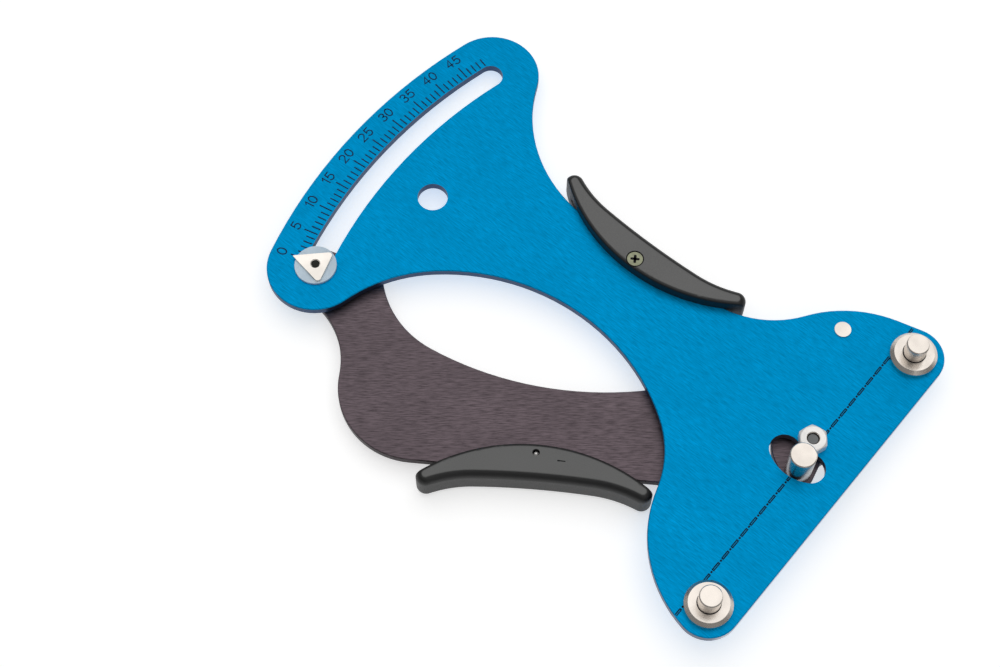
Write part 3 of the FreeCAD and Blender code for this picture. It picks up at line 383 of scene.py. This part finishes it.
def polar(radius, degrees):
    angle = math.radians(degrees)
    return Vector((radius * math.cos(angle), radius * math.sin(angle)))


def arc(cx, cy, rx, ry, start, stop, steps=18):
    """Points of an elliptical arc, from one angle in degrees to another."""
    turn = [math.radians(start + (stop - start) * step / steps) for step in range(steps + 1)]
    return [(cx + rx * math.cos(angle), cy + ry * math.sin(angle)) for angle in turn]


def circle(centre, radius, height, steps):
    """Points of a level circle."""
    turn = [2 * math.pi * step / steps for step in range(steps)]
    return [(centre[0] + radius * math.cos(angle), centre[1] + radius * math.sin(angle), height)
            for angle in turn]


def bands(rows, sides):
    """Faces between rows of points that each run once round."""
    faces = []
    for row in range(rows - 1):
        low, high = row * sides, (row + 1) * sides
        for step in range(sides):
            after = (step + 1) % sides
            faces.append((low + step, low + after, high + after, high + step))
    return faces


class Marks:
    """Thin ribbons at one height, gathered into one mesh."""

    CAP_STEPS = 6
    SHARPEST = 0.5  # cosine that keeps the tip of a tight corner near its line

    def __init__(self, height):
        self.height = height
        self.points = []
        self.faces = []

    def ribbon(self, line, width):
        """A ribbon along a line of 2-D points, with round ends."""
        half = width / 2
        line = [Vector(point) for point in line]
        base = len(self.points)
        for index, point in enumerate(line):
            before = line[max(index - 1, 0)]
            after = line[min(index + 1, len(line) - 1)]
            if before == point:
                before = point - (after - point)
            if after == point:
                after = point + (point - before)
            first = (point - before).normalized()
            second = (after - point).normalized()
            along = (first + second).normalized()
            reach = half / max(self.SHARPEST, along.dot(first))
            across = Vector((-along.y, along.x)) * reach
            self.points += [(*(point + across), self.height), (*(point - across), self.height)]
        for step in range(len(line) - 1):
            low = base + 2 * step
            self.faces.append((low, low + 1, low + 3, low + 2))
        self.cap(line[0], line[0] - line[1], half)
        self.cap(line[-1], line[-1] - line[-2], half)

    def cap(self, centre, toward, half):
        """A half disc at an end of a ribbon."""
        base = len(self.points)
        heading = math.atan2(toward.y, toward.x)
        for step in range(self.CAP_STEPS + 1):
            angle = heading - math.pi / 2 + math.pi * step / self.CAP_STEPS
            self.points.append((centre.x + half * math.cos(angle),
                                centre.y + half * math.sin(angle), self.height))
        self.faces.append(tuple(range(base, len(self.points))))

    def make(self, name, material, body):
        piece(name, self.points, self.faces, material, body)


# ---------------------------------------------------------------- the scale

INK_HEIGHT = 0.015

SCALE_START = 198.03  # direction of the zero from the pivot, in degrees
SCALE_STEP = 0.6535
TICKS = 50
TICK_FOOT = 192.3  # radii about the pivot
TICK_HEAD = 195.4
LONG_TICK_HEAD = 197.3
TICK_STROKE = 0.5

NUMBER_RADIUS = 200.95  # at half the numbers' height
NUMBER_HEIGHT = 3.45
NUMBER_WIDTH = 3.95  # of one unit in DIGITS
NUMBER_GAP = 0.22  # in the same units
NUMBER_STROKE = 0.48

# each digit's width, and its strokes from a foot at 0 to a head at 1
DIGITS = {
    "0": (0.6, [arc(0.29, 0.5, 0.29, 0.5, 90, 450, 28)]),
    "1": (0.24, [[(0.0, 0.80), (0.20, 1.0), (0.20, 0.0)]]),
    "2": (0.6, [arc(0.29, 0.71, 0.28, 0.29, 165, -35) + [(0.02, 0.0), (0.58, 0.0)]]),
    "3": (0.56, [arc(0.28, 0.76, 0.24, 0.24, 150, -90), arc(0.28, 0.26, 0.28, 0.26, 90, -150)]),
    "4": (0.6, [[(0.44, 0.0), (0.44, 1.0), (0.0, 0.30), (0.60, 0.30)]]),
    "5": (0.58, [[(0.53, 1.0), (0.12, 1.0), (0.07, 0.55)]
                 + arc(0.28, 0.32, 0.29, 0.32, 130, -150)]),
}


def draw_number(marks, text, angle):
    """Figures centred on a direction from the pivot, with their heads outward."""
    up = polar(1.0, angle)
    right = Vector((up.y, -up.x))
    start = -(sum(DIGITS[digit][0] for digit in text) + (len(text) - 1) * NUMBER_GAP) / 2
    for digit in text:
        width, strokes = DIGITS[digit]
        for stroke in strokes:
            marks.ribbon([up * (NUMBER_RADIUS + (y - 0.5) * NUMBER_HEIGHT)
                          + right * ((start + x) * NUMBER_WIDTH) for x, y in stroke],
                         NUMBER_STROKE)
        start += width + NUMBER_GAP


def draw_scale():
    ticks = Marks(INK_HEIGHT)
    numbers = Marks(INK_HEIGHT)
    for tick in range(TICKS):
        angle = SCALE_START - SCALE_STEP * tick
        fifth = tick % 5 == 0
        head = LONG_TICK_HEAD if fifth else TICK_HEAD
        ticks.ribbon([polar(TICK_FOOT, angle), polar(head, angle)], TICK_STROKE)
        if fifth:
            draw_number(numbers, str(tick), angle)
    ticks.make("scale_ticks", INK, "front")
    numbers.make("scale_numbers", INK, "front")


LINE_ACROSS = 1.82  # the spoke line from the pivot, along X
LINE_SPANS = ((55.2, 58.3), (5.1, 43.9), (-63.9, -15.4), (-78.9, -75.2))  # along Y
DOT_START = 34.63  # the dot that count 0 gives
DOT_STEP = 5.233
DOT_COUNTS = range(-5, 22)
DOT_HALF = 0.08
DOT_STROKE = 0.72
BAR_FOOT = 4.32  # below each dot
BAR_HEAD = 1.13
BAR_HALF = 0.30
BAR_STROKE = 0.42
SHORTEST_BAR = 0.5


def draw_spoke_line():
    """Outlined bars and dots along the path of the spoke, broken at the posts and the nut."""
    marks = Marks(INK_HEIGHT)
    for count in DOT_COUNTS:
        dot = DOT_START - DOT_STEP * count
        if any(low < dot < high for low, high in LINE_SPANS):
            marks.ribbon([(LINE_ACROSS, dot - DOT_HALF), (LINE_ACROSS, dot + DOT_HALF)],
                         DOT_STROKE)
        for low, high in LINE_SPANS:
            foot = max(low, dot - BAR_FOOT)
            head = min(high, dot - BAR_HEAD)
            if head - foot < SHORTEST_BAR:
                continue
            left = [(LINE_ACROSS - BAR_HALF, foot), (LINE_ACROSS - BAR_HALF, head)]
            right = [(LINE_ACROSS + BAR_HALF, head), (LINE_ACROSS + BAR_HALF, foot)]
            if head < dot - BAR_HEAD:  # runs out under a collar or the nut at its head
                outline = [left[1], left[0], right[1], right[0]]
            elif foot > dot - BAR_FOOT:  # the same at its foot
                outline = left + right
            else:
                outline = left + right + left[:1]
            marks.ribbon(outline, BAR_STROKE)
    marks.make("spoke_line_marks", DEEP_INK, "front")


draw_scale()
draw_spoke_line()


# ---------------------------------------------------------------- small round details

UPPER_POST = Vector((8.0, 49.55))
LOWER_POST = Vector((8.0, -69.55))
PIN_ROOT = (3.96, 4.2)  # radii of the shadow where a pin meets its collar
PIN_ROOT_HEIGHT = 3.21

NUT_FACE = (2.38, 2.95)  # radii of the flat ring round the nut's hole
NUT_FACE_HEIGHT = 4.004
PIVOT_SCREW_END = 1.8
PIVOT_SCREW_HEIGHT = 3.11

FRONT_SCREW = Vector((-89.8, 15.22))
SCREW_GAP = (2.86, 3.24)  # radii of the shadow round the screw's head
SCREW_GAP_HEIGHT = 4.775
SCREW_TURN = 32.4  # the cross in the photograph, in degrees
PLATE_EDGE_TURN = -2.05  # the cross as the solid has it
CROSS_ARM = 1.15
CROSS_STROKE = 1.02
CROSS_HEIGHT = 4.618

MOULD_MARK = (  # dashes on the rear handle, with their strokes
    ([(-62.8, -61.44), (-62.3, -61.12)], 0.5),
    ([(-62.0, -60.9), (-60.75, -60.08)], 0.4),
)
MOULD_MARK_HEIGHT = 0.003

TIP_PROFILE = ((1.15, -2.6), (1.0, -1.9), (0.75, -1.3), (0.45, -0.95), (0.2, -0.82))
TIP_SIDES = 24


def ring(name, centre, height, inner, outer, material, steps=48):
    """A flat ring on the front body, or a disc where the inner radius is 0."""
    points = circle(centre, outer, height, steps)
    if inner:
        points += circle(centre, inner, height, steps)
        faces = bands(2, steps)
    else:
        faces = [tuple(range(steps))]
    piece(name, points, faces, material, "front")


def draw_round_details():
    ring("upper_pin_root", UPPER_POST, PIN_ROOT_HEIGHT, *PIN_ROOT, DARK)
    ring("lower_pin_root", LOWER_POST, PIN_ROOT_HEIGHT, *PIN_ROOT, DARK)
    ring("nut_face", (0.0, 0.0), NUT_FACE_HEIGHT, *NUT_FACE, BRIGHT)
    ring("pivot_screw_end", (0.0, 0.0), PIVOT_SCREW_HEIGHT, 0.0, PIVOT_SCREW_END, GREY)
    ring("front_handle_screw_gap", FRONT_SCREW, SCREW_GAP_HEIGHT, *SCREW_GAP, DARK)
    # painted shade in the screw's cross recess, drawn bolder than the recess
    cross = Marks(CROSS_HEIGHT)
    for angle in (SCREW_TURN, SCREW_TURN + 90.0):
        arm = polar(CROSS_ARM, angle)
        cross.ribbon([FRONT_SCREW - arm, FRONT_SCREW + arm], CROSS_STROKE)
    cross.make("front_handle_screw_cross", DARK, "front")
    mould_mark = Marks(MOULD_MARK_HEIGHT)
    for line, stroke in MOULD_MARK:
        mould_mark.ribbon(line, stroke)
    mould_mark.make("rear_handle_mould_mark", DARK, "lever")


def axis_of(box):
    """Where the axis of a round CAD node stands in the row frame, from its box in metres."""
    low, high = box
    return Vector(((low.x + high.x) / 2, (low.y + high.y) / 2))


def turned_screw():
    """The front handle's screw with its cross at the angle that the photograph shows."""
    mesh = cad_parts["front_handle_screw"].data.copy()
    axis = axis_of(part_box("front_handle_screw")).to_3d()
    turn = Matrix.Rotation(math.radians(SCREW_TURN - PLATE_EDGE_TURN), 4, "Z")
    mesh.transform(Matrix.Translation(axis) @ turn @ Matrix.Translation(-axis))
    screw = bpy.data.objects.new("front_handle_screw_turned", mesh)
    show(screw)
    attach(screw, "front")
    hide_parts("front_handle_screw")


def screw_tip():
    """Rounded point of the rear handle's screw, seen down the open end of its hole, in the pale
    nut metal rather than the screw's yellow, as a painted glint.
    """
    centre = axis_of(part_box("rear_handle_screw")) / MM - PIVOT.xy
    points = []
    for radius, height in TIP_PROFILE:
        points += circle(centre, radius, height, TIP_SIDES)
    end = tuple(range(len(points) - TIP_SIDES, len(points)))
    piece("rear_handle_screw_tip", points, bands(len(TIP_PROFILE), TIP_SIDES) + [end], BRIGHT,
          "lever", smooth=True)


draw_round_details()
turned_screw()
screw_tip()


# ---------------------------------------------------------------- tubes: spring, threads

def tube(path, radius, sides=14):
    """Points and faces of a round wire along a path of 3-D points."""
    path = [Vector(point) for point in path]
    points = []
    normal = None
    for index, point in enumerate(path):
        before = path[max(index - 1, 0)]
        after = path[min(index + 1, len(path) - 1)]
        along = (after - before).normalized()
        if normal is None:
            helper = Vector((0, 0, 1)) if abs(along.z) < 0.9 else Vector((1, 0, 0))
            normal = along.cross(helper).normalized()
        else:
            normal = (normal - along * normal.dot(along)).normalized()
        side = along.cross(normal)
        for step in range(sides):
            angle = 2 * math.pi * step / sides
            points.append(point + normal * (radius * math.cos(angle))
                          + side * (radius * math.sin(angle)))
    ends = [tuple(reversed(range(sides))), tuple(range(len(points) - sides, len(points)))]
    return points, bands(len(path), sides) + ends


ANCHOR_FRONT = Vector((-16.95, 42.2))
ANCHOR_REAR = Vector((10.0, 4.0))
SPRING_HEIGHT = -6.3875
WIRE_RADIUS = 0.55
COIL_RADIUS = 2.3625
COIL_START = 8.0  # plain wire at the front anchor
COIL_STOP = 14.0  # plain wire at the rear anchor
COIL_STEPS = 26  # points in a turn
HOOK_RADIUS = 2.25
HOOK_SWEEP = math.radians(265)
HOOK_STEPS = 19


def hook(centre, start, height):
    """Points of a hook about an anchor that stands on the spring's axis."""
    angles = [start + HOOK_SWEEP * step / HOOK_STEPS for step in range(HOOK_STEPS + 1)]
    return [Vector((centre + HOOK_RADIUS * math.cos(angle), HOOK_RADIUS * math.sin(angle), height))
            for angle in angles]


def spring_path():
    """Wire of the return spring along its own axis: hook, coil, hook."""
    length = (ANCHOR_REAR - ANCHOR_FRONT).length
    turns = int((length - COIL_STOP - COIL_START) / (2 * WIRE_RADIUS)) - 1
    begin = COIL_START + WIRE_RADIUS
    finish = begin + turns * 2 * WIRE_RADIUS

    lean = math.asin(HOOK_RADIUS / begin)
    path = hook(0.0, lean - math.pi / 2, COIL_RADIUS)[::-1]
    leave = path[-1]
    path += [leave.lerp(Vector((begin, 0, COIL_RADIUS)), part) for part in (0.33, 0.66)]

    total = int((turns + 0.5) * COIL_STEPS)
    for step in range(total + 1):
        angle = 2 * math.pi * step / COIL_STEPS
        place = begin + (finish - begin) * step / total
        path.append(Vector((place, -COIL_RADIUS * math.sin(angle), COIL_RADIUS * math.cos(angle))))

    lean = math.asin(HOOK_RADIUS / (length - finish))
    rear = hook(length, -math.pi / 2 - lean, -COIL_RADIUS)
    end = Vector((finish, 0, -COIL_RADIUS))
    path += [end.lerp(rear[0], part) for part in (0.25, 0.5, 0.75)]
    return path + rear


def make_spring():
    along = ANCHOR_REAR - ANCHOR_FRONT
    turn = Matrix.Rotation(math.atan2(along.y, along.x), 4, "Z")
    shift = Vector((*ANCHOR_FRONT, SPRING_HEIGHT))
    points, faces = tube([turn @ point + shift for point in spring_path()], WIRE_RADIUS)
    spring = piece("spring_wire_coil", points, faces, WIRE, smooth=True)
    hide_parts("return_spring")
    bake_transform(spring)


THREAD_STEPS = 36  # points in a turn
RIDGE = 0.3  # radius of a thread's ridge, as a part of its pitch
POINTER_SCREW = polar(187.1, 198.35)


def thread(name, centre, low, high, crest, pitch, material, body):
    """A thread ridge on the wall of a hole, between two heights."""
    path = []
    for step in range(int((high - low) / pitch * THREAD_STEPS) + 1):
        angle = 2 * math.pi * step / THREAD_STEPS
        path.append((centre[0] + crest * math.cos(angle), centre[1] + crest * math.sin(angle),
                     low + pitch * step / THREAD_STEPS))
    points, faces = tube(path, pitch * RIDGE, sides=8)
    piece(name, points, faces, material, body, smooth=True)


make_spring()
thread("nut_thread", (0.0, 0.0), low=3.15, high=3.85, crest=2.32, pitch=0.53,
       material=NICKEL, body="front")
thread("pointer_thread", POINTER_SCREW, low=1.5, high=1.8, crest=1.62, pitch=0.4,
       material=POINTER, body="lever")


# ---------------------------------------------------------------- floor, light, camera

# lengths and places in the row frame, in metres
OUTWARD = Vector((0.565, -0.825))  # direction away from the tool, across the rear handle
SAME_HEIGHT = 0.00002
BESIDE_HANDLE = 0.01
FLOOR_CENTRE = Vector((0.08, -0.02))
FLOOR_REACH = 6.0
LIT_POINT = (0.06, -0.02, 0.0)
CAMERA_PLACE = (0.2432, -0.2516, 0.5996)
CAMERA_TARGET = (0.0548, -0.0269, 0.0)


def floor_plane():
    """Plane that the tool rests on: both ends of the rear handle and one point across."""
    handle = [vertex.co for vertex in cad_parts["rear_handle"].data.vertices]
    base = min(point.z for point in handle)
    edge = min(OUTWARD.dot(point.xy) for point in handle if point.z < base + SAME_HEIGHT)
    slope = min((vertex.co.z - base) / (edge - OUTWARD.dot(vertex.co.xy))
                for name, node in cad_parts.items() if name != "rear_handle"
                for vertex in node.data.vertices
                if OUTWARD.dot(vertex.co.xy) < edge - BESIDE_HANDLE)
    normal = Vector((OUTWARD.x * slope, OUTWARD.y * slope, 1.0)).normalized()
    height = base + slope * (edge - OUTWARD.dot(FLOOR_CENTRE))
    return Vector((*FLOOR_CENTRE, height)), normal


def make_floor():
    nodes = Nodes("studio_paper")
    nodes.paint(Base_Color=nodes.ramp(nodes.noise(6), (0.3, (0.665, 0.665, 0.665)),
                                      (0.7, (0.69, 0.69, 0.685))))
    nodes.set(Roughness=0.75, Specular_IOR_Level=0.2, Emission_Color=(1.0, 1.0, 1.0, 1.0),
              Emission_Strength=0.59)
    corners = [(x * FLOOR_REACH, y * FLOOR_REACH, 0)
               for x, y in ((-1, -1), (1, -1), (1, 1), (-1, 1))]
    mesh = bpy.data.meshes.new("studio_floor")
    mesh.from_pydata(corners, [], [(0, 1, 2, 3)])
    mesh.materials.append(nodes.material)
    floor = bpy.data.objects.new("studio_floor", mesh)
    centre, normal = floor_plane()
    tilt = Vector((0, 0, 1)).rotation_difference(normal).to_matrix().to_4x4()
    floor.matrix_world = Matrix.Translation(centre) @ tilt
    show(floor)


def aim(thing, target):
    thing.rotation_euler = (Vector(target) - thing.location).to_track_quat("-Z", "Y").to_euler()


def softbox(name, place, size, power):
    data = bpy.data.lights.new(name, "AREA")
    data.shape = "RECTANGLE"
    data.size = size
    data.size_y = size
    data.energy = power
    light = bpy.data.objects.new(name, data)
    light.location = place
    aim(light, LIT_POINT)
    show(light)


def make_lights():
    softbox("key_softbox", (-0.16, 0.25, 1.3), size=1.8, power=11.0)
    softbox("fill_softbox", (0.9, -0.3, 0.8), size=0.8, power=1.0)
    world = bpy.data.worlds.new("studio")
    bpy.context.scene.world = world
    world.use_nodes = True
    background = world.node_tree.nodes["Background"]
    background.inputs["Color"].default_value = (1.0, 1.0, 1.0, 1.0)
    background.inputs["Strength"].default_value = 0.25


def make_camera():
    data = bpy.data.cameras.new("camera")
    data.lens = 67.8
    data.sensor_width = 36.0
    data.clip_start = 0.01
    data.clip_end = 50.0
    camera = bpy.data.objects.new("camera", data)
    camera.location = CAMERA_PLACE
    aim(camera, CAMERA_TARGET)
    show(camera)
    bpy.context.scene.camera = camera


make_floor()
make_lights()
make_camera()
bpy.context.scene.view_settings.view_transform = "Standard"
